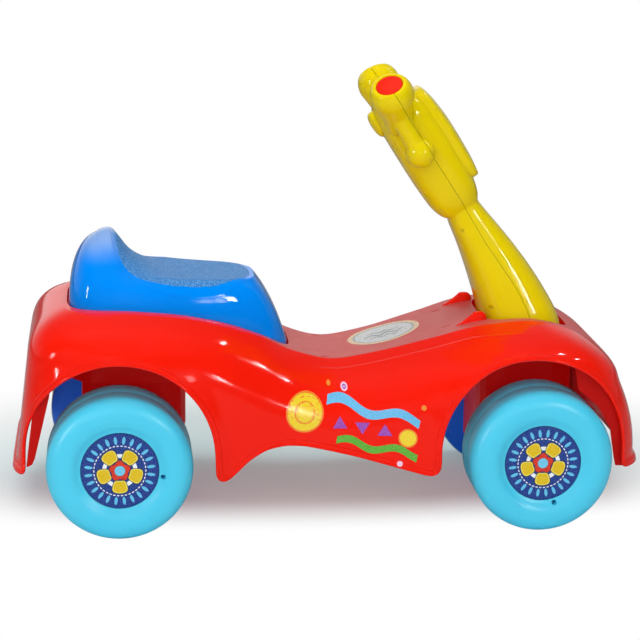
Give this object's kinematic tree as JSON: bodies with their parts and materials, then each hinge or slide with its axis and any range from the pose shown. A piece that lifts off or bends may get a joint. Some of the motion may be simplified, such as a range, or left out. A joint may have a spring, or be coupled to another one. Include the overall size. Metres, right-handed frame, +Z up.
{
  "type": "ride-on car",
  "caption": "Toddler ride-on car with a moulded body, lift-up seat over a bin, wheels on steel axles and a fixed column with press buttons",
  "frame": {"origin": "on the floor under the middle of the body", "axes": "X forward towards the steering column, Y across the car, Z up"},
  "size_m": [0.6616, 0.31, 0.4671],
  "materials": {
    "body_red": "gloss",
    "seat_blue": "gloss",
    "wheel_cyan": "semi-gloss",
    "column_yellow": "gloss",
    "button_red": "gloss",
    "cap_navy": "gloss",
    "axle_steel": "satin"
  },
  "bodies": {
    "root": {"body_shell": "body_red", "storage_bin": "body_red", "front_housing": "body_red", "seat_pin_near": "axle_steel", "seat_pin_far": "axle_steel", "column_rear_half": "column_yellow", "column_front_half": "column_yellow", "face_plate": "column_yellow", "rear_axle": "axle_steel", "front_axle": "axle_steel", "push_nut_rear_near": "axle_steel", "washer_rear_near": "axle_steel", "push_nut_rear_far": "axle_steel", "washer_rear_far": "axle_steel", "push_nut_front_near": "axle_steel", "washer_front_near": "axle_steel", "push_nut_front_far": "axle_steel", "washer_front_far": "axle_steel"},
    "seat": {"seat_lid": "seat_blue"},
    "button_near": {"end_button_near": "button_red"},
    "button_far": {"end_button_far": "button_red"},
    "horn": {"horn_button": "column_yellow"},
    "wheel_rear_near": {"wheel_rear_near": "wheel_cyan", "wheel_cap_rear_near": "cap_navy"},
    "wheel_rear_far": {"wheel_rear_far": "wheel_cyan", "wheel_cap_rear_far": "cap_navy"},
    "wheel_front_near": {"wheel_front_near": "wheel_cyan", "wheel_cap_front_near": "cap_navy"},
    "wheel_front_far": {"wheel_front_far": "wheel_cyan", "wheel_cap_front_far": "cap_navy"}
  },
  "joints": [
    {"name": "seat_hinge", "type": "hinge", "parent": "root", "child": "seat", "pos_m": [-0.06475, 0, 0.186], "axis": [0, 1, 0], "range_deg": [0, 50]},
    {"name": "wheel_rear_near_spin", "type": "hinge", "parent": "root", "child": "wheel_rear_near", "pos_m": [-0.21975, -0.118, 0.075], "axis": [0, 1, 0], "continuous": true},
    {"name": "wheel_rear_far_spin", "type": "hinge", "parent": "root", "child": "wheel_rear_far", "pos_m": [-0.21975, 0.118, 0.075], "axis": [0, 1, 0], "continuous": true},
    {"name": "wheel_front_near_spin", "type": "hinge", "parent": "root", "child": "wheel_front_near", "pos_m": [0.21625, -0.118, 0.075], "axis": [0, 1, 0], "continuous": true},
    {"name": "wheel_front_far_spin", "type": "hinge", "parent": "root", "child": "wheel_front_far", "pos_m": [0.21625, 0.118, 0.075], "axis": [0, 1, 0], "continuous": true},
    {"name": "button_near_press", "type": "slide", "parent": "root", "child": "button_near", "axis": [0.301, 0.54, -0.786], "range_m": [0, 0.0025], "stiffness_N_per_m": 400},
    {"name": "button_far_press", "type": "slide", "parent": "root", "child": "button_far", "axis": [0.301, -0.54, -0.786], "range_m": [0, 0.0025], "stiffness_N_per_m": 400},
    {"name": "horn_press", "type": "slide", "parent": "root", "child": "horn", "axis": [0.829, 0, 0.5592], "range_m": [0, 0.003], "stiffness_N_per_m": 400}
  ]
}
